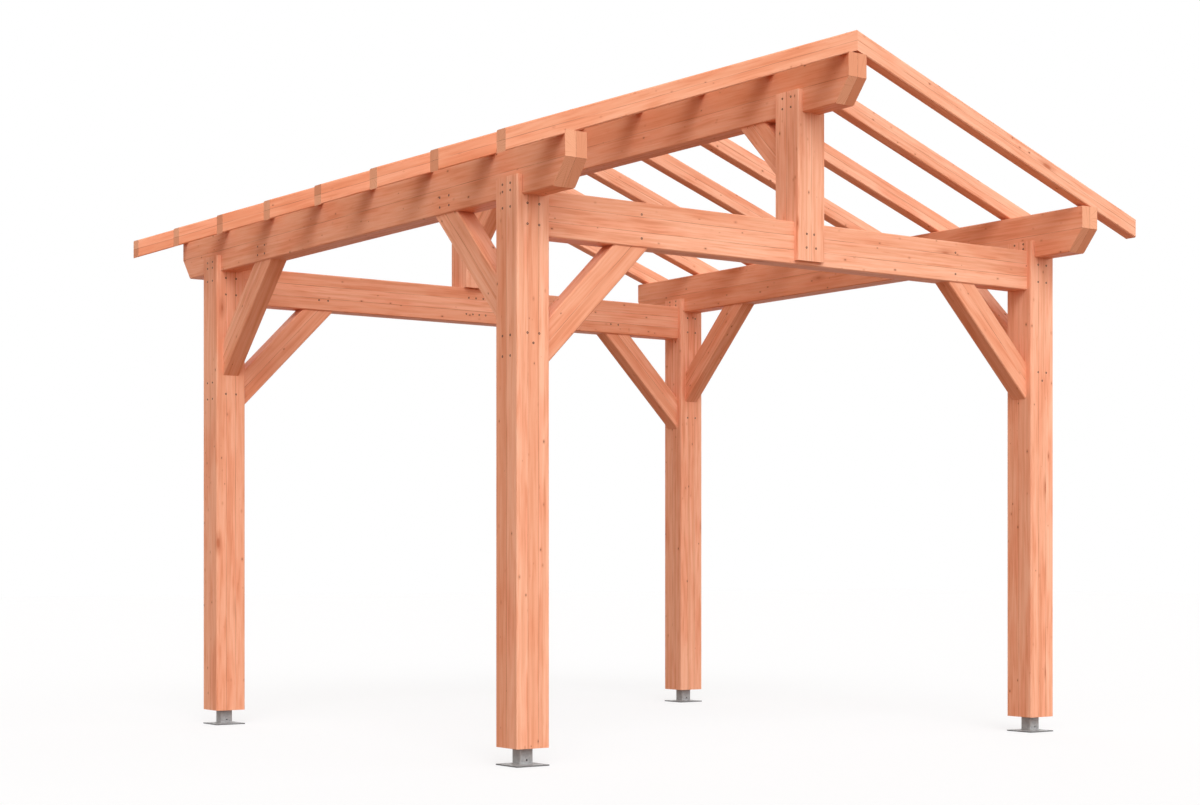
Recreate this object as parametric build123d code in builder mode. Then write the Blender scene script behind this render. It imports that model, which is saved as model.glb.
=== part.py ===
from build123d import *
import math
import os

# A garden pergola of glued timber, sizes in millimetres.
# x runs along the gable, y runs along the ridge from front (-y) to back (+y), z is up.
# The origin is the middle of the footprint at floor level.

# Plan of the frame
post_spacing_x = 2850.0
post_spacing_y = 2620.0
beam_overhang = 360.0

# Timber sections
post_section = 150.0
edge_ease = 4.0
shortest_eased = 40.0
tie_width = 100.0
tie_height = 180.0
beam_width = 100.0
beam_height = 200.0
rafter_width = 60.0
rafter_depth = 80.0
brace_width = 85.0
brace_depth = 120.0

# Heights
foot_height = 70.0
shoulder_height = 2200.0
tie_rise_over_shoulder = 30.0

# Forked tops of the posts and king posts
fork_side_fit = 1.0
post_ear_height = 75.0
king_ear_height = 96.0

# Half-lap of the king post on the outer face of the tie beam
king_tongue_stop = 15.0

# Ends of the plates and of the ridge
end_slant_height = 100.0
end_slant_length = 80.0

# Roof
roof_pitch = 19.5
rafter_count = 8
tail_overhang = 265.0
plate_seat_width = 50.0
ridge_seat_width = 17.0
heel_fit = 1.0

# Knee braces, measured along the timber from the inner corner to the far end of the cut
brace_leg = 505.0
ridge_brace_leg = 275.0

# Steel feet
foot_plate_side = 150.0
foot_plate_thickness = 5.0
foot_tube_side = 60.0
foot_tube_wall = 4.0
foot_tube_corner = 7.0
anchor_pitch = 120.0
anchor_hole = 11.0
drain_hole = 8.0
drain_height = 22.0

# Values that follow from the ones above
post_x = post_spacing_x / 2
post_y = post_spacing_y / 2
half_post = post_section / 2
half_beam = beam_width / 2
tie_top = shoulder_height + tie_rise_over_shoulder
tie_bottom = tie_top - tie_height
plate_top = shoulder_height + beam_height
pitch_rise = math.tan(math.radians(roof_pitch))
rafter_plumb = rafter_depth / math.cos(math.radians(roof_pitch))
underside_cross_x = post_x + half_beam - plate_seat_width
underside_at_apex = plate_top + pitch_rise * underside_cross_x
ridge_top = underside_at_apex - pitch_rise * (half_beam - ridge_seat_width)
ridge_bottom = ridge_top - beam_height
beam_half_length = post_y + beam_overhang
tail_x = post_x + half_beam + tail_overhang
fork_slot = beam_width + 2 * fork_side_fit
rafter_step = (2 * beam_half_length - rafter_width) / (rafter_count - 1)

os.makedirs("parts", exist_ok=True)


def make_foot(x, y):
    """Steel foot: a floor plate with four anchor holes and a square tube that carries the post."""
    with BuildPart() as foot:
        with BuildSketch(Plane.XY):
            with Locations((x, y)):
                Rectangle(foot_plate_side, foot_plate_side)
                with GridLocations(anchor_pitch, anchor_pitch, 2, 2):
                    Circle(anchor_hole / 2, mode=Mode.SUBTRACT)
        extrude(amount=foot_plate_thickness)
        with BuildSketch(Plane.XY.offset(foot_plate_thickness)):
            with Locations((x, y)):
                RectangleRounded(foot_tube_side, foot_tube_side, foot_tube_corner)
                RectangleRounded(
                    foot_tube_side - 2 * foot_tube_wall,
                    foot_tube_side - 2 * foot_tube_wall,
                    foot_tube_corner - foot_tube_wall,
                    mode=Mode.SUBTRACT,
                )
        extrude(amount=foot_height - foot_plate_thickness)
        with BuildSketch(Plane.XZ.offset(foot_tube_side / 2 - y)):
            with Locations((x, drain_height)):
                Circle(drain_hole / 2)
        extrude(amount=-2 * foot_tube_wall, mode=Mode.SUBTRACT)
    return foot


def make_post(x, y):
    """Post with a forked top: the plate lies in the fork between two ears."""
    with BuildPart() as post:
        with BuildSketch(Plane.XY.offset(foot_height)) as section:
            with Locations((x, y)):
                Rectangle(post_section, post_section)
            chamfer(section.vertices(), edge_ease)
        extrude(amount=shoulder_height + post_ear_height - foot_height)
        with BuildSketch(Plane.XY.offset(shoulder_height)):
            with Locations((x, y)):
                Rectangle(fork_slot, post_section)
        extrude(amount=post_ear_height, mode=Mode.SUBTRACT)
    return post


def make_tie(y):
    """Tie beam between the inner faces of two posts."""
    with BuildPart() as tie:
        with BuildSketch(Plane.YZ.offset(half_post - post_x)) as section:
            with Locations((y, tie_bottom + tie_height / 2)):
                Rectangle(tie_width, tie_height)
            chamfer(section.vertices(), edge_ease)
        extrude(amount=post_spacing_x - post_section)
    return tie


def make_beam(x, bottom):
    """Plate or ridge: a long beam whose ends are cut back on the lower half."""
    slant_top = bottom + end_slant_height
    foot_y = beam_half_length - end_slant_length
    with BuildPart() as beam:
        with BuildSketch(Plane.YZ.offset(x - half_beam)):
            with BuildLine():
                Polyline(
                    (-foot_y, bottom),
                    (foot_y, bottom),
                    (beam_half_length, slant_top),
                    (beam_half_length, bottom + beam_height),
                    (-beam_half_length, bottom + beam_height),
                    (-beam_half_length, slant_top),
                    close=True,
                )
            make_face()
        extrude(amount=beam_width)
        chamfer(beam.edges().filter_by(Axis.Y), edge_ease)
    return beam


def make_king_post(outward):
    """King post on a tie beam: forked top for the ridge, thin tongue lapped on the outer face below."""
    y = outward * post_y
    tie_face = y + outward * tie_width / 2
    tongue_bottom = tie_bottom + king_tongue_stop
    with BuildPart() as king:
        with BuildSketch(Plane.XY.offset(tongue_bottom)) as section:
            with Locations((0, y)):
                Rectangle(post_section, post_section)
            chamfer(section.vertices(), edge_ease)
        extrude(amount=ridge_bottom + king_ear_height - tongue_bottom)
        with BuildSketch(Plane.XY.offset(tongue_bottom)):
            with Locations((0, tie_face - outward * post_section / 2)):
                Rectangle(post_section, post_section)
        extrude(amount=tie_top - tongue_bottom, mode=Mode.SUBTRACT)
        with BuildSketch(Plane.XY.offset(ridge_bottom)):
            with Locations((0, y)):
                Rectangle(fork_slot, post_section)
        extrude(amount=king_ear_height, mode=Mode.SUBTRACT)
    return king


def brace_profile(corner, direction, leg):
    """Side view of a 45 degree brace: plumb cut on the post, level cut under the beam."""
    short_leg = leg - brace_depth * math.sqrt(2)
    (start, top) = corner
    return [
        (start, top - leg),
        (start + direction * leg, top),
        (start + direction * short_leg, top),
        (start, top - short_leg),
    ]


def make_tie_brace(side, y):
    """Knee brace in the plane of the gable, from a post up to the tie beam."""
    corner = (side * (post_x - half_post), tie_bottom)
    with BuildPart() as brace:
        with BuildSketch(Plane.XZ.offset(-brace_width / 2 - y)):
            with BuildLine():
                Polyline(*brace_profile(corner, -side, brace_leg), close=True)
            make_face()
        extrude(amount=brace_width)
        ease_sloping_edges(brace)
    return brace


def make_length_brace(x, start_y, direction, top, leg):
    """Knee brace in the length of the frame, from an upright up to the plate or the ridge."""
    with BuildPart() as brace:
        with BuildSketch(Plane.YZ.offset(x - brace_width / 2)):
            with BuildLine():
                Polyline(*brace_profile((start_y, top), direction, leg), close=True)
            make_face()
        extrude(amount=brace_width)
        ease_sloping_edges(brace)
    return brace


def ease_sloping_edges(timber):
    """Ease the long edges that run along a sloping timber."""
    sloping = []
    for edge in timber.edges():
        run = edge @ 1 - edge @ 0
        rises = abs(run.Z) > edge_ease
        runs_level = math.hypot(run.X, run.Y) > edge_ease
        if rises and runs_level and edge.length > shortest_eased:
            sloping.append(edge)
    chamfer(sloping, edge_ease)


def make_rafter(side, front_y):
    """Rafter with a plumb tail, a birdsmouth on the plate, a shallow seat on the ridge, a plumb top."""
    plate_face = post_x + half_beam
    ridge_face = half_beam
    ridge_seat_x = half_beam - ridge_seat_width

    def underside(x):
        return underside_at_apex - pitch_rise * x

    outline = [
        (0, underside(0) + rafter_plumb),
        (tail_x, underside(tail_x) + rafter_plumb),
        (tail_x, underside(tail_x)),
        (plate_face + heel_fit, underside(plate_face + heel_fit)),
        (plate_face + heel_fit, plate_top),
        (underside_cross_x, plate_top),
        (ridge_face + heel_fit, underside(ridge_face + heel_fit)),
        (ridge_face + heel_fit, ridge_top),
        (ridge_seat_x, ridge_top),
        (0, underside(0)),
    ]
    with BuildPart() as rafter:
        with BuildSketch(Plane.XZ.offset(-front_y - rafter_width)):
            with BuildLine():
                Polyline(*[(side * x, z) for (x, z) in outline], close=True)
            make_face()
        extrude(amount=rafter_width)
        ease_sloping_edges(rafter)
    return rafter


pieces = {}

for side_name, side in (("left", -1), ("right", 1)):
    pieces["plate_beam_" + side_name] = make_beam(side * post_x, shoulder_height)
    for row_name, row in (("front", -1), ("back", 1)):
        corner_name = row_name + "_" + side_name
        pieces["foot_" + corner_name] = make_foot(side * post_x, row * post_y)
        pieces["post_" + corner_name] = make_post(side * post_x, row * post_y)
        pieces["tie_brace_" + corner_name] = make_tie_brace(side, row * post_y)
        pieces["plate_brace_" + corner_name] = make_length_brace(
            side * post_x, row * (post_y - half_post), -row, shoulder_height, brace_leg
        )
    for number in range(rafter_count):
        pieces[f"rafter_{side_name}_{number + 1}"] = make_rafter(
            side, -beam_half_length + number * rafter_step
        )

for row_name, row in (("front", -1), ("back", 1)):
    pieces["tie_beam_" + row_name] = make_tie(row * post_y)
    pieces["king_post_" + row_name] = make_king_post(row)
    pieces["ridge_brace_" + row_name] = make_length_brace(
        0, row * (post_y - half_post), -row, ridge_bottom, ridge_brace_leg
    )

pieces["ridge_beam"] = make_beam(0, ridge_bottom)

for name, piece in pieces.items():
    piece.part.label = name
    export_step(piece.part, "parts/" + name + ".step")
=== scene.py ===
import math
import random

import bpy
from mathutils import Euler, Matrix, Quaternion, Vector


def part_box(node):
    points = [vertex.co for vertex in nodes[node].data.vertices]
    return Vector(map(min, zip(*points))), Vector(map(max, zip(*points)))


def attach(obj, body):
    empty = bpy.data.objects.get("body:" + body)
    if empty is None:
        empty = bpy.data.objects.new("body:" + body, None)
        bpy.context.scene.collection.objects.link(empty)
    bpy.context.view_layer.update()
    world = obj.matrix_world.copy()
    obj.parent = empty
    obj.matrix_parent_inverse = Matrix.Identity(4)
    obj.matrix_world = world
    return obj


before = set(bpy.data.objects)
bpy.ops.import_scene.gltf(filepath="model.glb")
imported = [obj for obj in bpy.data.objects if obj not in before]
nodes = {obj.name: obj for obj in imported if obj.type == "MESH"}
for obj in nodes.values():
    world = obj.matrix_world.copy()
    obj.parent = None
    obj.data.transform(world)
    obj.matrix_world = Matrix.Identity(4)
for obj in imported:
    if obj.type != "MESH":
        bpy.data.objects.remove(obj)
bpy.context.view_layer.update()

# The view.
# A low, level view from in front of the left corner, on a plain pale floor under soft studio
# light: a key lamp, a broad front lamp, weaker ones from the right and behind, and a pale sky.

photo_width = 1200
photo_height = 805
focal_length_px = 2102.5
horizon_px = 563.8
eye = (-5.959, -8.088, 0.781)
turn_from_ridge = 35.89
looking_level = 90
sensor_mm = 36

camera_data = bpy.data.cameras.new("camera")
camera_data.sensor_width = sensor_mm
camera_data.lens = focal_length_px / photo_width * sensor_mm
camera_data.shift_y = (horizon_px - photo_height / 2) / photo_width
camera = bpy.data.objects.new("camera", camera_data)
bpy.context.scene.collection.objects.link(camera)
camera.location = eye
camera.rotation_euler = (math.radians(looking_level), 0, -math.radians(turn_from_ridge))
bpy.context.scene.camera = camera
bpy.context.scene.view_settings.view_transform = "Standard"


class Value:
    """What a node gives out. Arithmetic on it adds the Math nodes that work it out."""

    def __init__(self, finish, socket):
        self.finish = finish
        self.socket = socket

    def __add__(self, other):
        return self.finish.maths("ADD", self, other)

    def __radd__(self, other):
        return self.finish.maths("ADD", other, self)

    def __sub__(self, other):
        return self.finish.maths("SUBTRACT", self, other)

    def __rsub__(self, other):
        return self.finish.maths("SUBTRACT", other, self)

    def __mul__(self, other):
        return self.finish.maths("MULTIPLY", self, other)

    def __rmul__(self, other):
        return self.finish.maths("MULTIPLY", other, self)

    def __truediv__(self, other):
        return self.finish.maths("DIVIDE", self, other)

    def __abs__(self):
        return self.finish.maths("ABSOLUTE", self)


class Finish:
    """The nodes that make the look of a material or of the sky."""

    def __init__(self, tree):
        self.tree = tree

    def feed(self, socket, value):
        if isinstance(value, Value):
            self.tree.links.new(value.socket, socket)
        else:
            socket.default_value = value

    def node(self, kind, settings, sockets):
        """Adds a node, its settings first and then its sockets. Gives its outputs by name."""
        made = self.tree.nodes.new(kind)
        for name, setting in settings.items():
            setattr(made, name, setting)
        inputs = {socket.identifier: socket for socket in made.inputs}
        for name, value in sockets.items():
            self.feed(inputs[name], value)
        return {socket.identifier: Value(self, socket) for socket in made.outputs}

    def maths(self, operation, *numbers):
        sockets = dict(zip(("Value", "Value_001", "Value_002"), numbers))
        return self.node("ShaderNodeMath", {"operation": operation}, sockets)["Value"]

    def vector_maths(self, operation, *vectors):
        sockets = dict(zip(("Vector", "Vector_001", "Vector_002"), vectors))
        return self.node("ShaderNodeVectorMath", {"operation": operation}, sockets)

    def step(self, value, low, high):
        """0 below low, 1 above high, and a smooth rise between."""
        settings = {"interpolation_type": "SMOOTHSTEP"}
        sockets = {"Value": value, "From Min": low, "From Max": high}
        return self.node("ShaderNodeMapRange", settings, sockets)["Result"]

    def noise(self, at, detail):
        """Soft random patches about one unit across."""
        sockets = {"Vector": at, "Scale": 1.0, "Detail": detail}
        return self.node("ShaderNodeTexNoise", {}, sockets)["Fac"]

    def stretch(self, at, per_metre):
        return self.vector_maths("MULTIPLY", at, per_metre)["Vector"]

    def parts(self, vector):
        """The X, Y and Z of a vector."""
        return self.node("ShaderNodeSeparateXYZ", {}, {"Vector": vector})

    def tint(self, amount, colour, other):
        """Turns colour into the other colour by amount."""
        sockets = {"Factor_Float": amount, "A_Color": colour, "B_Color": other}
        return self.node("ShaderNodeMix", {"data_type": "RGBA"}, sockets)["Result_Color"]

    def seen_directly(self):
        """1 for rays from the camera, a gloss or a clear piece, and 0 for light on other pieces."""
        rays = self.node("ShaderNodeLightPath", {}, {})
        seen = self.maths("MAXIMUM", rays["Is Camera Ray"], rays["Is Glossy Ray"])
        return self.maths("MAXIMUM", seen, rays["Is Transmission Ray"])


def paint(red, green, blue):
    """A colour as a screen shows it, 0 to 255, in the linear form that the shaders take."""
    linear = [((part / 255 + 0.055) / 1.055) ** 2.4 for part in (red, green, blue)]
    return (*linear, 1.0)


sky_light = 0.43
sky_tone = (1.0, 0.80, 0.63, 1.0)
white = (1.0, 1.0, 1.0, 1.0)

sky = bpy.data.worlds.new("sky")
sky.use_nodes = True
bpy.context.scene.world = sky
sky_finish = Finish(sky.node_tree)
sky_seen = sky_finish.seen_directly()
backdrop = sky.node_tree.nodes["Background"]
sky_finish.feed(backdrop.inputs["Color"], sky_finish.tint(sky_seen, sky_tone, white))
sky_finish.feed(backdrop.inputs["Strength"], sky_light + (1 - sky_light) * sky_seen)


def add_lamp(name, strength, softness, towards):
    """A far lamp in the direction towards, its shadows as soft as its angle in degrees."""
    lamp_data = bpy.data.lights.new(name, "SUN")
    lamp_data.energy = strength
    lamp_data.angle = math.radians(softness)
    lamp = bpy.data.objects.new(name, lamp_data)
    bpy.context.scene.collection.objects.link(lamp)
    lamp.rotation_euler = Vector(towards).to_track_quat("Z", "Y").to_euler()


add_lamp("key_lamp", strength=1.05, softness=30, towards=(-0.36, -0.66, 0.64))
add_lamp("front_lamp", strength=2.90, softness=120, towards=(-0.36, -0.92, 0.02))
add_lamp("right_lamp", strength=0.35, softness=50, towards=(0.75, -0.55, 0.50))
add_lamp("back_lamp", strength=1.30, softness=90, towards=(0.55, 0.80, 0.25))

floor_side = 80
floor_drop = 0.0008
floor_white = 0.72
floor_tone = (0.90, 0.93, 0.97, 1.0)
floor_glow = (1.01, 1.02, 1.03, 1.0)
floor_bounce = (0.31, 0.155, 0.085, 1.0)

bpy.ops.object.select_all(action="DESELECT")
bpy.ops.mesh.primitive_plane_add(size=floor_side, location=(0, 0, -floor_drop))
floor = bpy.context.object
floor.name = "floor"
floor_paint = bpy.data.materials.new("floor_paint")
floor_paint.use_nodes = True
floor_finish = Finish(floor_paint.node_tree)
floor_seen = floor_finish.seen_directly()
floor_colour = floor_finish.tint(floor_seen, floor_bounce, floor_tone)
matt = floor_finish.node("ShaderNodeBsdfDiffuse", {}, {"Color": floor_colour})["BSDF"]
bright = floor_finish.node("ShaderNodeEmission", {}, {"Color": floor_glow})["Emission"]
floor_sockets = {"Fac": floor_seen * floor_white, "Shader": matt, "Shader_001": bright}
floor_mix = floor_finish.node("ShaderNodeMixShader", {}, floor_sockets)["Shader"]
floor_output = floor_paint.node_tree.nodes["Material Output"]
floor_finish.feed(floor_output.inputs["Surface"], floor_mix)
floor.data.materials.append(floor_paint)

# The steel feet.
# Each foot is a square hollow section welded on a floor plate with holes for anchors. It is
# hot-dip galvanised, so it is dull grey with a faint spangle. A fillet weld runs round the tube.

rows = ("front", "back")
sides = ("left", "right")
corners = [row + "_" + side for row in rows for side in sides]

plate_thickness = 0.005
tube_side = 0.060
tube_corner = 0.007
tube_corner_cuts = 4
weld_leg = 0.0035
weld_cuts = 7
weld_ripple = 0.00025
ripple_seed = 5
nearly_level = 0.9
smooth_below = 50

zinc_dull = paint(150, 153, 156)
zinc_bright = paint(178, 180, 182)
zinc_cloud = paint(128, 132, 136)
# The colour of the painted shade on the plate's upright edges.
zinc_painted_shade = paint(84, 86, 90)
zinc_metallic = 0.15
crystals_per_metre = 120.0
cloud_per_metre = (30, 30, 30)
even_parts = (0.33, 0.33, 0.33)
cloud_strength = 0.5
edge_painted_shade_strength = 0.8
edge_blend = 0.001


def zinc_finish(name, centre):
    """Dull hot-dip zinc: crystals a centimetre across, clouds, and painted shade on the upright
    edges of the plate.
    """
    material = bpy.data.materials.new(name)
    material.use_nodes = True
    look = Finish(material.node_tree)
    place = look.node("ShaderNodeTexCoord", {}, {})
    sockets = {"Vector": place["Object"], "Location": centre}
    at = look.node("ShaderNodeMapping", {"vector_type": "TEXTURE"}, sockets)["Vector"]
    sockets = {"Vector": at, "Scale": crystals_per_metre}
    crystals = look.node("ShaderNodeTexVoronoi", {}, sockets)["Color"]
    spangle = look.vector_maths("DOT_PRODUCT", crystals, even_parts)["Value"]
    cloud = look.noise(look.stretch(at, cloud_per_metre), 3.0)
    colour = look.tint(spangle, zinc_dull, zinc_bright)
    colour = look.tint(look.step(cloud, 0.45, 0.75) * cloud_strength, colour, zinc_cloud)
    # Painted shade: the upright edges of the floor plate, below its top, are darkened.
    upright = 1 - look.step(abs(look.parts(place["Normal"])["Z"]), 0.3, 0.7)
    above_plate = look.step(look.parts(at)["Z"], plate_thickness, plate_thickness + edge_blend)
    painted_shade_edge = upright * (1 - above_plate)
    colour = look.tint(painted_shade_edge * edge_painted_shade_strength, colour, zinc_painted_shade)
    surface = material.node_tree.nodes["Principled BSDF"]
    look.feed(surface.inputs["Base Color"], colour)
    look.feed(surface.inputs["Roughness"], 0.42 + cloud * 0.25)
    surface.inputs["Metallic"].default_value = zinc_metallic
    sockets = {"Height": cloud, "Strength": 0.2, "Distance": 0.0004}
    look.feed(surface.inputs["Normal"], look.node("ShaderNodeBump", {}, sockets)["Normal"])
    return material


def pick(piece, elements, wanted):
    """In edit mode, selects only the points or the faces of a piece that wanted agrees to."""
    bpy.ops.object.mode_set(mode="OBJECT")
    by_point = elements == piece.data.vertices
    bpy.context.tool_settings.mesh_select_mode = (by_point, False, not by_point)
    for all_of_a_kind in (piece.data.vertices, piece.data.edges, piece.data.polygons):
        for element in all_of_a_kind:
            element.select = False
    for element in elements:
        element.select = wanted(element)
    bpy.ops.object.mode_set(mode="EDIT")


def weld_bead(name, x, y):
    """Fillet weld: a rounded square as wide as the tube, spread out below, rippled on its slope."""
    spread = (tube_side + 2 * weld_leg) / tube_side
    bpy.ops.object.select_all(action="DESELECT")
    bpy.ops.mesh.primitive_plane_add(size=tube_side, location=(x, y, plate_thickness))
    bead = bpy.context.object
    bead.name = name
    bpy.ops.object.mode_set(mode="EDIT")
    bpy.ops.mesh.select_all(action="SELECT")
    bpy.ops.mesh.bevel(offset=tube_corner, segments=tube_corner_cuts, affect="VERTICES")
    bpy.ops.mesh.extrude_region_move(TRANSFORM_OT_translate={"value": (0, 0, weld_leg)})
    pick(bead, bead.data.vertices, lambda point: point.co.z < weld_leg / 2)
    bpy.ops.transform.resize(value=(spread, spread, 1), center_override=(x, y, plate_thickness))
    pick(bead, bead.data.polygons, lambda face: abs(face.normal.z) < nearly_level)
    bpy.ops.mesh.subdivide(number_cuts=weld_cuts)
    pick(bead, bead.data.polygons, lambda face: abs(face.normal.z) < nearly_level)
    bpy.ops.transform.vertex_random(offset=weld_ripple, normal=1.0, seed=ripple_seed)
    bpy.ops.mesh.select_all(action="SELECT")
    bpy.ops.mesh.normals_make_consistent(inside=False)
    bpy.ops.object.mode_set(mode="OBJECT")
    bpy.ops.object.shade_smooth_by_angle(angle=math.radians(smooth_below))
    bpy.ops.object.transform_apply(location=True, rotation=True, scale=True)
    return bead


def dress(name, finish):
    """Gives a CAD piece its finish."""
    nodes[name].material_slots[0].material = finish


def middle(name):
    """The middle of a CAD piece's box."""
    low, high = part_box(name)
    return (Vector(low) + Vector(high)) / 2


for corner in corners:
    centre = middle("foot_" + corner)
    zinc = zinc_finish("zinc_" + corner, (centre.x, centre.y, 0))
    dress("foot_" + corner, zinc)
    bead = weld_bead("weld_" + corner, centre.x, centre.y)
    bead.data.materials.append(zinc)
    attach(bead, "root")

# The screws.
# Countersunk wood screws with a star recess hold the frame together. Only their heads show,
# driven flush. One head is modelled, and each place gets a copy, turned as chance left it.

head_radius = 0.0046
head_depth = 0.0030
head_rise = 0.0006
rim_width = 0.0005
rim_rise = 0.0002
recess_radius = 0.0022
recess_depth = 0.0016
star_points = 6
corners_per_point = 4
star_corners = corners_per_point * star_points
star_waist = 0.70
star_flank = 0.86
past_recess = recess_radius * 1.1
inside_recess = recess_radius / 2
chance_of_turn = random.Random(7)

bpy.ops.object.select_all(action="DESELECT")
bpy.ops.mesh.primitive_cylinder_add(
    vertices=star_corners,
    radius=head_radius,
    depth=head_depth,
    location=(0, 0, head_rise - head_depth / 2),
)
pattern_head = bpy.context.object
bpy.ops.object.transform_apply(location=True, rotation=True, scale=True)
pick(pattern_head, pattern_head.data.polygons, lambda face: face.normal.z > nearly_level)
bpy.ops.mesh.inset(thickness=rim_width, depth=rim_rise)
bpy.ops.mesh.inset(thickness=head_radius - rim_width - recess_radius)


def star_corner(point):
    """Which of the four corners of its star point a point of the recess is, counted round."""
    turns = math.atan2(point.co.y, point.co.x) / math.tau
    return round(turns * star_corners) % corners_per_point


for place_in_star, narrowed in ((2, star_waist), (1, star_flank), (3, star_flank)):
    pick(
        pattern_head,
        pattern_head.data.vertices,
        lambda point: math.hypot(point.co.x, point.co.y) < past_recess
        and star_corner(point) == place_in_star,
    )
    bpy.ops.transform.resize(
        value=(narrowed, narrowed, 1), center_override=(0, 0, head_rise + rim_rise)
    )
pick(
    pattern_head,
    pattern_head.data.polygons,
    lambda face: face.normal.z > nearly_level and face.center.xy.length < inside_recess,
)
bpy.ops.mesh.extrude_region_move(TRANSFORM_OT_translate={"value": (0, 0, -recess_depth)})
bpy.ops.mesh.select_all(action="SELECT")
bpy.ops.mesh.normals_make_consistent(inside=False)
bpy.ops.object.mode_set(mode="OBJECT")

screw_steel_and_hole_shade = bpy.data.materials.new("screw_steel_and_hole_shade")
screw_steel_and_hole_shade.use_nodes = True
screw_surface = screw_steel_and_hole_shade.node_tree.nodes["Principled BSDF"]
# The heads are painted dark brown: partly the dark steel of the screws, partly painted shade of the
# holes they are sunk in.
screw_surface.inputs["Base Color"].default_value = paint(74, 50, 38)
screw_surface.inputs["Roughness"].default_value = 0.45
screw_surface.inputs["Metallic"].default_value = 0.5
pattern_head.data.materials.append(screw_steel_and_hole_shade)


def screw_grid(centre, facing, columns, heights):
    """Places for screws in an upright face: columns to the side of centre, heights above it."""
    sideways = Vector((facing[1], facing[0], 0))
    places = []
    for column in columns:
        for height in heights:
            places.append((Vector(centre) + sideways * column + Vector((0, 0, height)), facing))
    return places


def drive_screws(timber, places):
    """Copies the screw head to each place, a point and the way it faces, and joins the copies."""
    heads = []
    for point, facing in places:
        head = pattern_head.copy()
        head.data = pattern_head.data.copy()
        bpy.context.scene.collection.objects.link(head)
        turn = Quaternion((0, 0, 1), chance_of_turn.uniform(0, math.tau))
        head.location = point
        head.rotation_euler = (Vector(facing).to_track_quat("Z", "Y") @ turn).to_euler()
        heads.append(head)
    bpy.ops.object.select_all(action="DESELECT")
    for head in heads:
        head.select_set(True)
    screws = heads[0]
    bpy.context.view_layer.objects.active = screws
    bpy.ops.object.join()
    bpy.ops.object.transform_apply(location=True, rotation=True, scale=True)
    screws.name = "screws_" + timber
    screws.data.name = screws.name
    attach(screws, "root")


# The posts.
# Square glued spruce with a salmon stain, forked at the top so that the plate beam lies between
# two ears. They stand on the feet, and wood screws hold the beams and braces to them.

stain_light = paint(254, 201, 172)
stain_mid = paint(244, 178, 146)
stain_pink = paint(238, 156, 122)
stain_dark = paint(206, 126, 86)
deep_stain_and_painted_shade = paint(214, 130, 88)
# The deep tone of some boards, and also the colour of painted shade on whole timbers.
stain_seam = paint(150, 86, 60)
knot_rim = paint(190, 112, 78)
knot_core = paint(118, 62, 42)
end_light = paint(250, 194, 160)
end_dark = paint(214, 142, 108)
end_ray = paint(252, 194, 162)
stain_gloss = 0.2
stain_roughness = 0.50
streak_roughness = 0.16
end_roughness = 0.15
# How much a timber is darkened as a whole. The pale value, none, leaves the right posts and rafters
# lighter: partly their tone, partly painted light against the shade that falls on them.
usual_shade = 0.12
pale_tone_and_painted_light = 0.0

# How far each layer turns the colour to its own, from 0 to 1.
mid_strength = 0.70
pink_strength = 0.50
band_strength = 0.30
streak_strength = 0.36
fibre_strength = 0.24
ring_strength = 0.06
board_strength = 0.30
halo_strength = 0.40
knot_strength = 0.85
end_ring_strength = 0.45
end_ray_strength = 0.55
end_check_strength = 0.45
end_board_strength = 0.80
glue_strength = 0.75

# How often each layer of the grain changes in a metre, along it and across it.
sway_per_metre = (3.0, 5.0, 5.0)
bands_per_metre = (0.7, 42, 42)
streaks_per_metre = (5.0, 120, 120)
fibres_per_metre = (22, 330, 330)
clouds_per_metre = (3.0, 15, 15)
small_knots_per_metre = (17.0, 29.0, 29.0)
large_knots_per_metre = (2.6, 8.0, 8.0)

# Sizes in metres, but a knot's own size is a part of the space that it has to itself.
ring_gap = 0.0052
ring_wobble = 0.010
grain_sway = 0.012
glue_line = 0.0014
glue_line_core = glue_line * 0.25
least_knot = 0.012
small_knot_growth = 0.10
large_knot_growth = 0.085

# What sets the boards of a timber apart, and how close the rays of a sawn end stand.
board_steps = (7.31, 3.17)
board_shift = (9.0, 3.0, 3.0)
just_inside = 0.998
rays_per_radian = 9.0


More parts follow.
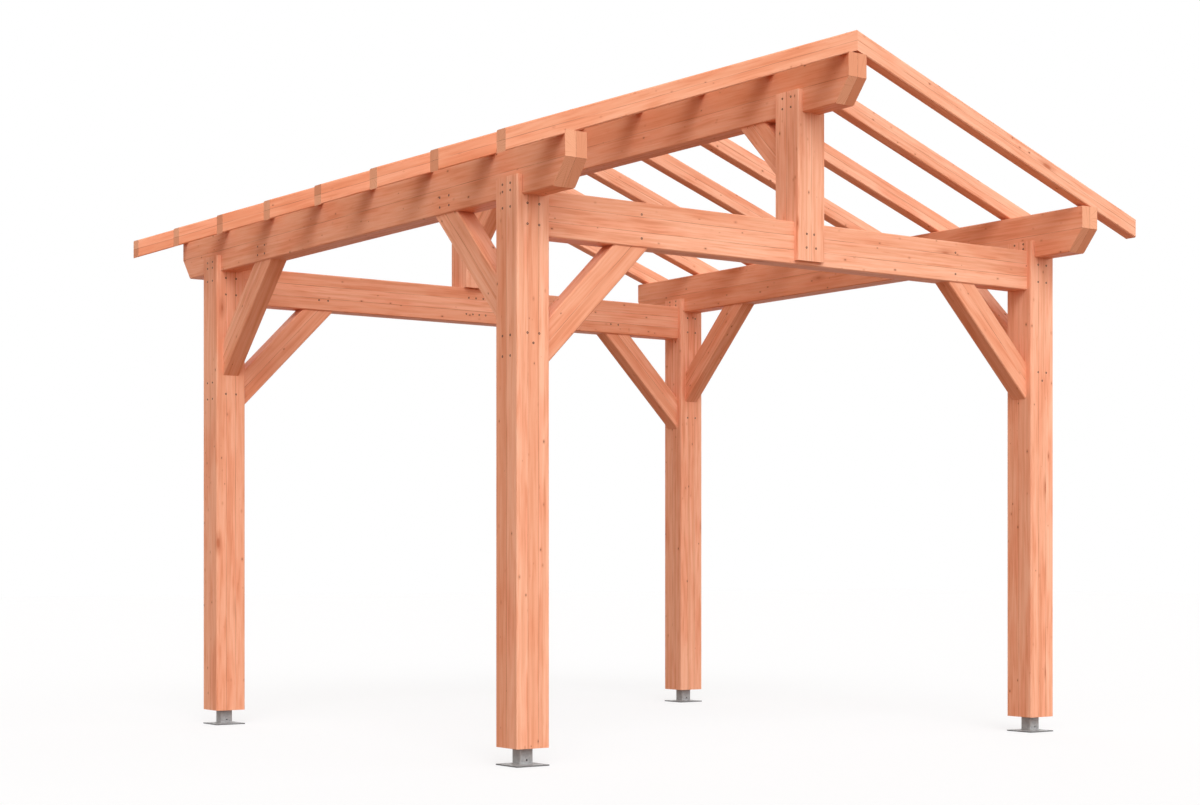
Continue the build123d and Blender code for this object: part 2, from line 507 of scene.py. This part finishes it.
def stained_timber(
    name, centre, tilt, turn, width, depth, across_count, deep_count, seed, tone_and_painted_shade=usual_shade
):
    """Stained glued timber. Its grain runs along x, then tilted about y and turned about z.

    It is glued up from across_count by deep_count boards, each with its own heart, streaks and
    tone. The angles are in degrees. tone_and_painted_shade darkens the whole timber towards
    deep_stain_and_painted_shade: partly its own tone, partly painted shade where it lies darker in
    its light.
    """
    material = bpy.data.materials.new(name + "_stain")
    material.use_nodes = True
    look = Finish(material.node_tree)
    laid = Euler((0, math.radians(tilt), math.radians(turn)))
    place = look.node("ShaderNodeTexCoord", {}, {})
    sockets = {"Vector": place["Object"], "Location": centre, "Rotation": laid}
    at = look.node("ShaderNodeMapping", {"vector_type": "TEXTURE"}, sockets)["Vector"]
    spot = look.parts(at)
    across = spot["Y"]
    deep = spot["Z"]

    # Each board of the glued section draws its own chance.
    place_across = across * (just_inside * across_count / width) + across_count / 2
    place_deep = deep * (just_inside * deep_count / depth) + deep_count / 2
    board_across = look.maths("FLOOR", place_across) * board_steps[0]
    board_deep = look.maths("FLOOR", place_deep) * board_steps[1]
    sockets = {"W": board_across + board_deep + seed}
    draw = look.node("ShaderNodeTexWhiteNoise", {"noise_dimensions": "1D"}, sockets)
    chance = look.node("ShaderNodeSeparateColor", {}, {"Color": draw["Color"]})
    shifted = look.vector_maths("MULTIPLY_ADD", draw["Color"], board_shift, at)["Vector"]

    # Grain: slow bands, streaks a hand long, short fine fibres, clouds of tone, and rings.
    sockets = {"Vector": look.stretch(at, sway_per_metre), "Scale": 1.0}
    sway = look.node("ShaderNodeTexNoise", {}, sockets)["Color"]
    aside = (0.0, grain_sway, grain_sway)
    grain = look.vector_maths("MULTIPLY_ADD", sway, aside, shifted)["Vector"]
    bands = look.noise(look.stretch(grain, bands_per_metre), 1.0)
    streaks = look.noise(look.stretch(grain, streaks_per_metre), 2.0)
    fibres = look.noise(look.stretch(grain, fibres_per_metre), 2.0)
    clouds = look.noise(look.stretch(shifted, clouds_per_metre), 2.0)
    heart_across = across - (chance["Red"] - 0.5) * (width / across_count)
    heart_deep = deep - (chance["Green"] - 0.5) * (depth / deep_count)
    from_heart = look.maths("SQRT", heart_across * heart_across + heart_deep * heart_deep)
    ring = look.maths("FRACT", (from_heart + clouds * ring_wobble) / ring_gap)
    late_wood = look.step(ring, 0.45, 0.95) * (1 - look.step(ring, 0.96, 1.0))

    dark_streaks = look.step(streaks + clouds * 0.5, 0.80, 1.0)
    colour = look.tint(look.step(streaks, 0.32, 0.64) * mid_strength, stain_light, stain_mid)
    colour = look.tint(look.step(clouds, 0.46, 0.68) * pink_strength, colour, stain_pink)
    colour = look.tint(look.step(bands, 0.50, 0.72) * band_strength, colour, stain_dark)
    colour = look.tint(dark_streaks * streak_strength, colour, stain_dark)
    colour = look.tint(look.step(fibres, 0.57, 0.78) * fibre_strength, colour, stain_dark)
    colour = look.tint(late_wood * ring_strength, colour, stain_dark)
    # Each board's own tone, and the timber's tone and painted shade, darken it towards the deep
    # colour.
    colour = look.tint(chance["Blue"] * board_strength + tone_and_painted_shade, colour, deep_stain_and_painted_shade)

    # Knots, small and many or larger and few: a core, and a halo that is longer along the grain.
    small_knots = (small_knots_per_metre, small_knot_growth, knot_core)
    large_knots = (large_knots_per_metre, large_knot_growth, knot_rim)
    for per_metre, growth, core in (small_knots, large_knots):
        sockets = {"Vector": look.stretch(shifted, per_metre), "Scale": 1.0}
        cells = look.node("ShaderNodeTexVoronoi", {}, sockets)
        cell = look.node("ShaderNodeSeparateColor", {}, {"Color": cells["Color"]})
        reach = cells["Distance"] / (least_knot + look.step(cell["Red"], 0.25, 1.0) * growth)
        knot = 1 - look.step(reach, 0.45, 1.0)
        halo = 1 - look.step(reach, 0.8, 2.4)
        colour = look.tint(halo * halo_strength, colour, knot_rim)
        colour = look.tint(knot * knot_strength, colour, core)

    # The sawn ends show the rings, and fine checks that run out from the heart.
    grain_way = laid.to_matrix() @ Vector((1, 0, 0))
    facing = look.vector_maths("DOT_PRODUCT", place["Normal"], grain_way)["Value"]
    sawn_end = look.step(abs(facing), 0.60, 0.72)
    angle = look.maths("ARCTAN2", heart_deep, heart_across)
    sockets = {"W": angle, "Scale": rays_per_radian, "Detail": 1.0}
    ray_noise = look.node("ShaderNodeTexNoise", {"noise_dimensions": "1D"}, sockets)["Fac"]
    rays = look.step(ray_noise, 0.52, 0.66)
    checks = 1 - look.step(ray_noise, 0.30, 0.42)
    end_colour = look.tint(late_wood * end_ring_strength, end_light, end_dark)
    end_colour = look.tint(rays * end_ray_strength, end_colour, end_ray)
    end_colour = look.tint(checks * end_check_strength, end_colour, end_dark)
    end_colour = look.tint(chance["Blue"] * end_board_strength, end_colour, end_dark)
    colour = look.tint(sawn_end, colour, end_colour)

    # Glue lines between the boards: down the middle of two, or a sixth to each side with three.
    glue = None
    for position, size, count in ((across, width, across_count), (deep, depth, deep_count)):
        if count == 1:
            continue
        nearest = abs(position) if count == 2 else abs(abs(position) - size / 6)
        line = 1 - look.step(nearest, glue_line_core, glue_line)
        glue = line if glue is None else look.maths("MAXIMUM", glue, line)
    if glue is not None:
        glue = glue * look.step(streaks, 0.30, 0.60) * glue_strength
        colour = look.tint(glue, colour, stain_seam)

    surface = material.node_tree.nodes["Principled BSDF"]
    look.feed(surface.inputs["Base Color"], colour)
    roughness = stain_roughness + streaks * streak_roughness + sawn_end * end_roughness
    look.feed(surface.inputs["Roughness"], roughness)
    surface.inputs["Specular IOR Level"].default_value = stain_gloss
    height = fibres * 0.6 + streaks * 0.4 + late_wood * 0.2
    sockets = {"Height": height, "Strength": 0.35, "Distance": 0.0005}
    look.feed(surface.inputs["Normal"], look.node("ShaderNodeBump", {}, sockets)["Normal"])
    return material


for number, corner in enumerate(corners):
    name = "post_" + corner
    low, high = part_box(name)
    side = high[0] - low[0]
    tone_and_painted_shade = usual_shade if corner.endswith("left") else pale_tone_and_painted_light
    dress(name, stained_timber(
        name, middle(name), tilt=-90, turn=0, width=side, depth=side, across_count=2, deep_count=3,
        seed=11.0 + 5.7 * number, tone_and_painted_shade=tone_and_painted_shade,
    ))

# Screws hold the plate in the fork and, driven at a rising slant, the feet of the two braces.
# Heights count from the underside of the plate, or from the foot of the brace.
screw_half = 0.027
pair = (-screw_half, screw_half)
outer_ear_heights = (0.018, 0.046, -0.045)
inner_ear_heights = (0.063, 0.041)
fork_heights = (-0.033, -0.113)
tie_brace_heights = (0.037, 0.116)
plate_brace_pair_height = -0.026
plate_brace_single_height = -0.064
inner_foot_height = -0.090
plate_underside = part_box("plate_beam_left")[0][2]

for corner in corners:
    name = "post_" + corner
    low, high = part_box(name)
    centre = middle(name)
    out_x, in_x = (low[0], high[0]) if corner.endswith("left") else (high[0], low[0])
    out_y, in_y = (low[1], high[1]) if corner.startswith("front") else (high[1], low[1])
    way_x = 1 if out_x > in_x else -1
    way_y = 1 if out_y > in_y else -1
    tie_brace_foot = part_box("tie_brace_" + corner)[0][2]
    plate_brace_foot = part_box("plate_brace_" + corner)[0][2]
    over_tie_brace = (out_x, centre.y, tie_brace_foot)
    over_plate_brace = (centre.x, out_y, plate_brace_foot)
    places = screw_grid((out_x, centre.y, plate_underside), (way_x, 0, 0), pair, outer_ear_heights)
    places += screw_grid((in_x, centre.y, plate_underside), (-way_x, 0, 0), pair, inner_ear_heights)
    places += screw_grid((centre.x, low[1], plate_underside), (0, -1, 0), pair, fork_heights)
    places += screw_grid((centre.x, high[1], plate_underside), (0, 1, 0), pair, fork_heights)
    places += screw_grid(over_tie_brace, (way_x, 0, 0), pair, tie_brace_heights)
    places += screw_grid(over_plate_brace, (0, way_y, 0), pair, (plate_brace_pair_height,))
    places += screw_grid(over_plate_brace, (0, way_y, 0), (0,), (plate_brace_single_height,))
    under_plate_brace = (centre.x, in_y, plate_brace_foot)
    places += screw_grid(under_plate_brace, (0, -way_y, 0), pair, (inner_foot_height,))
    drive_screws(name, places)

# The tie beams and their braces.
# Glued beams across the two gables, butted between the posts, with a knee brace in each corner.
# Screws at a slant hold them to the braces, and more hold the king post from behind.

# On the outer face two screws stand over each brace. On the inner face there are two over each
# brace and seven that hold the king post. Heights count from the middle of the beam.
brace_screw_reach = 0.466
brace_screw_heights = (-0.055, 0.041)
inner_screw_reaches = (0.420, 0.471)
inner_screw_height = -0.039
king_screws = ((0.038, (-0.045, 0.0, 0.045)), (-0.048, (-0.060, -0.020, 0.020, 0.060)))

for number, row in enumerate(rows):
    name = "tie_beam_" + row
    low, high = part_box(name)
    dress(name, stained_timber(
        name, middle(name), tilt=0, turn=0, width=high[1] - low[1], depth=high[2] - low[2],
        across_count=1, deep_count=3, seed=40.0 + 6.1 * number,
    ))
    out = -1 if row == "front" else 1
    outer, inner = (low[1], high[1]) if out < 0 else (high[1], low[1])
    half_length = (high[0] - low[0]) / 2
    height = middle(name).z
    reach = half_length - brace_screw_reach
    places = screw_grid((0, outer, height), (0, out, 0), (-reach, reach), brace_screw_heights)
    for screw_height, columns in king_screws:
        places += screw_grid((0, inner, height + screw_height), (0, -out, 0), columns, (0,))
    for from_end in inner_screw_reaches:
        ends = (from_end - half_length, half_length - from_end)
        places += screw_grid((0, inner, height), (0, -out, 0), ends, (inner_screw_height,))
    drive_screws(name, places)

brace_depth = 0.120


def brace_middle(name, bend):
    """The middle of a brace's own section: its box is wider than the timber that crosses it."""
    return middle(name) + Vector(bend) * (brace_depth / math.sqrt(2) / 2)


for number, corner in enumerate(corners):
    name = "tie_brace_" + corner
    low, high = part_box(name)
    out = -1 if corner.endswith("left") else 1
    dress(name, stained_timber(
        name, brace_middle(name, (out, 0, 1)), tilt=45 * out, turn=0, width=high[1] - low[1],
        depth=brace_depth, across_count=1, deep_count=2, seed=60.0 + 3.3 * number,
    ))

# The plate beams and their braces.
# Long glued beams along both sides, which lie in the forks of the posts and carry the rafters.
# Their ends are cut back on the lower half, and knee braces hold them to the posts.

# Painted shade darkens the whole plates, for their sides that lie in the rafters' shade.
plate_painted_shade = 0.24
plate_screw_half = 0.035
plate_screw_heights = (-0.070, -0.030)
plate_pair = (-plate_screw_half, plate_screw_half)

for number, side_name in enumerate(sides):
    name = "plate_beam_" + side_name
    low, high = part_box(name)
    dress(name, stained_timber(
        name, middle(name), tilt=0, turn=90, width=high[0] - low[0], depth=high[2] - low[2],
        across_count=2, deep_count=2, seed=80.0 + 4.9 * number, tone_and_painted_shade=plate_painted_shade,
    ))

    # On the outer face four screws go down into each brace.
    out = -1 if side_name == "left" else 1
    outer = low[0] if out < 0 else high[0]
    brace_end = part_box("plate_brace_front_" + side_name)[1][1]
    brace_top = brace_end - brace_depth * math.sqrt(2) / 2
    places = []
    for y in (brace_top, -brace_top):
        over_brace = (outer, y, middle(name).z)
        places += screw_grid(over_brace, (out, 0, 0), plate_pair, plate_screw_heights)
    drive_screws(name, places)

for number, corner in enumerate(corners):
    name = "plate_brace_" + corner
    low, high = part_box(name)
    out = -1 if corner.startswith("front") else 1
    dress(name, stained_timber(
        name, brace_middle(name, (0, out, 1)), tilt=45 * out, turn=90, width=high[0] - low[0],
        depth=brace_depth, across_count=1, deep_count=2, seed=90.0 + 3.9 * number,
    ))

# The king posts, the ridge beam and its braces.
# A short forked post stands on each tie beam, lapped over its outer face, and carries the ridge
# beam. A small knee brace runs from each of them up to the ridge.

# The king posts take little painted shade, painted lighter so that their fronts stay light where
# the ridge casts its shadow.
king_painted_shade = 0.03
# Painted shade darkens the whole ridge, for its side that lies in the rafters' shade.
ridge_painted_shade = 0.34
tongue_screws = ((0.129, (-0.014, 0.027)), (0.071, (-0.025, 0.028)))
king_ear_heights = (0.026, 0.070)
ridge_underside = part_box("ridge_beam")[0][2]

for number, row in enumerate(rows):
    name = "king_post_" + row
    low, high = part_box(name)
    side = high[0] - low[0]
    dress(name, stained_timber(
        name, middle(name), tilt=-90, turn=0, width=side, depth=side, across_count=2, deep_count=2,
        seed=110.0 + 7.7 * number, tone_and_painted_shade=king_painted_shade,
    ))
    out = -1 if row == "front" else 1
    outer = low[1] if out < 0 else high[1]
    tie_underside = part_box("tie_beam_" + row)[0][2]
    places = []
    for height, columns in tongue_screws:
        places += screw_grid((0, outer, tie_underside + height), (0, out, 0), columns, (0,))
    for face_x, way in ((low[0], -1), (high[0], 1)):
        ear = (face_x, middle(name).y, ridge_underside)
        places += screw_grid(ear, (way, 0, 0), pair, king_ear_heights)
    drive_screws(name, places)

    name = "ridge_brace_" + row
    low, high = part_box(name)
    dress(name, stained_timber(
        name, brace_middle(name, (0, out, 1)), tilt=45 * out, turn=90, width=high[0] - low[0],
        depth=brace_depth, across_count=1, deep_count=2, seed=120.0 + 2.3 * number,
    ))

low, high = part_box("ridge_beam")
dress("ridge_beam", stained_timber(
    "ridge_beam", middle("ridge_beam"), tilt=0, turn=90, width=high[0] - low[0],
    depth=high[2] - low[2], across_count=2, deep_count=2, seed=131.0, tone_and_painted_shade=ridge_painted_shade,
))

# The rafters.
# Eight pairs of slim rafters with plumb ends, notched over the plates and meeting over the ridge.
# Each is screwed down from above at the plate and at the ridge.

roof_pitch = 19.5
rafter_depth = 0.080
rafter_count = 8
ridge_screw_reach = 0.035
left_rafter_shade = 0.34
slope = math.radians(roof_pitch)

for side_name, out in (("left", -1), ("right", 1)):
    facing = (out * math.sin(slope), 0, math.cos(slope))
    plate_reach = abs(middle("plate_beam_" + side_name).x)
    for number in range(1, rafter_count + 1):
        name = f"rafter_{side_name}_{number}"
        low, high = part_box(name)
        tilt = out * roof_pitch
        dress(name, stained_timber(
            name, middle(name), tilt=tilt, turn=0, width=high[1] - low[1], depth=rafter_depth,
            across_count=1, deep_count=2, seed=150.0 + 2.9 * number + 0.7 * tilt,
            tone_and_painted_shade=left_rafter_shade if side_name == "left" else pale_tone_and_painted_light,
        ))
        places = []
        for x in (plate_reach, ridge_screw_reach):
            top = high[2] - x * math.tan(slope)
            places.append((Vector((out * x, middle(name).y, top)), facing))
        drive_screws(name, places)

bpy.data.objects.remove(pattern_head)
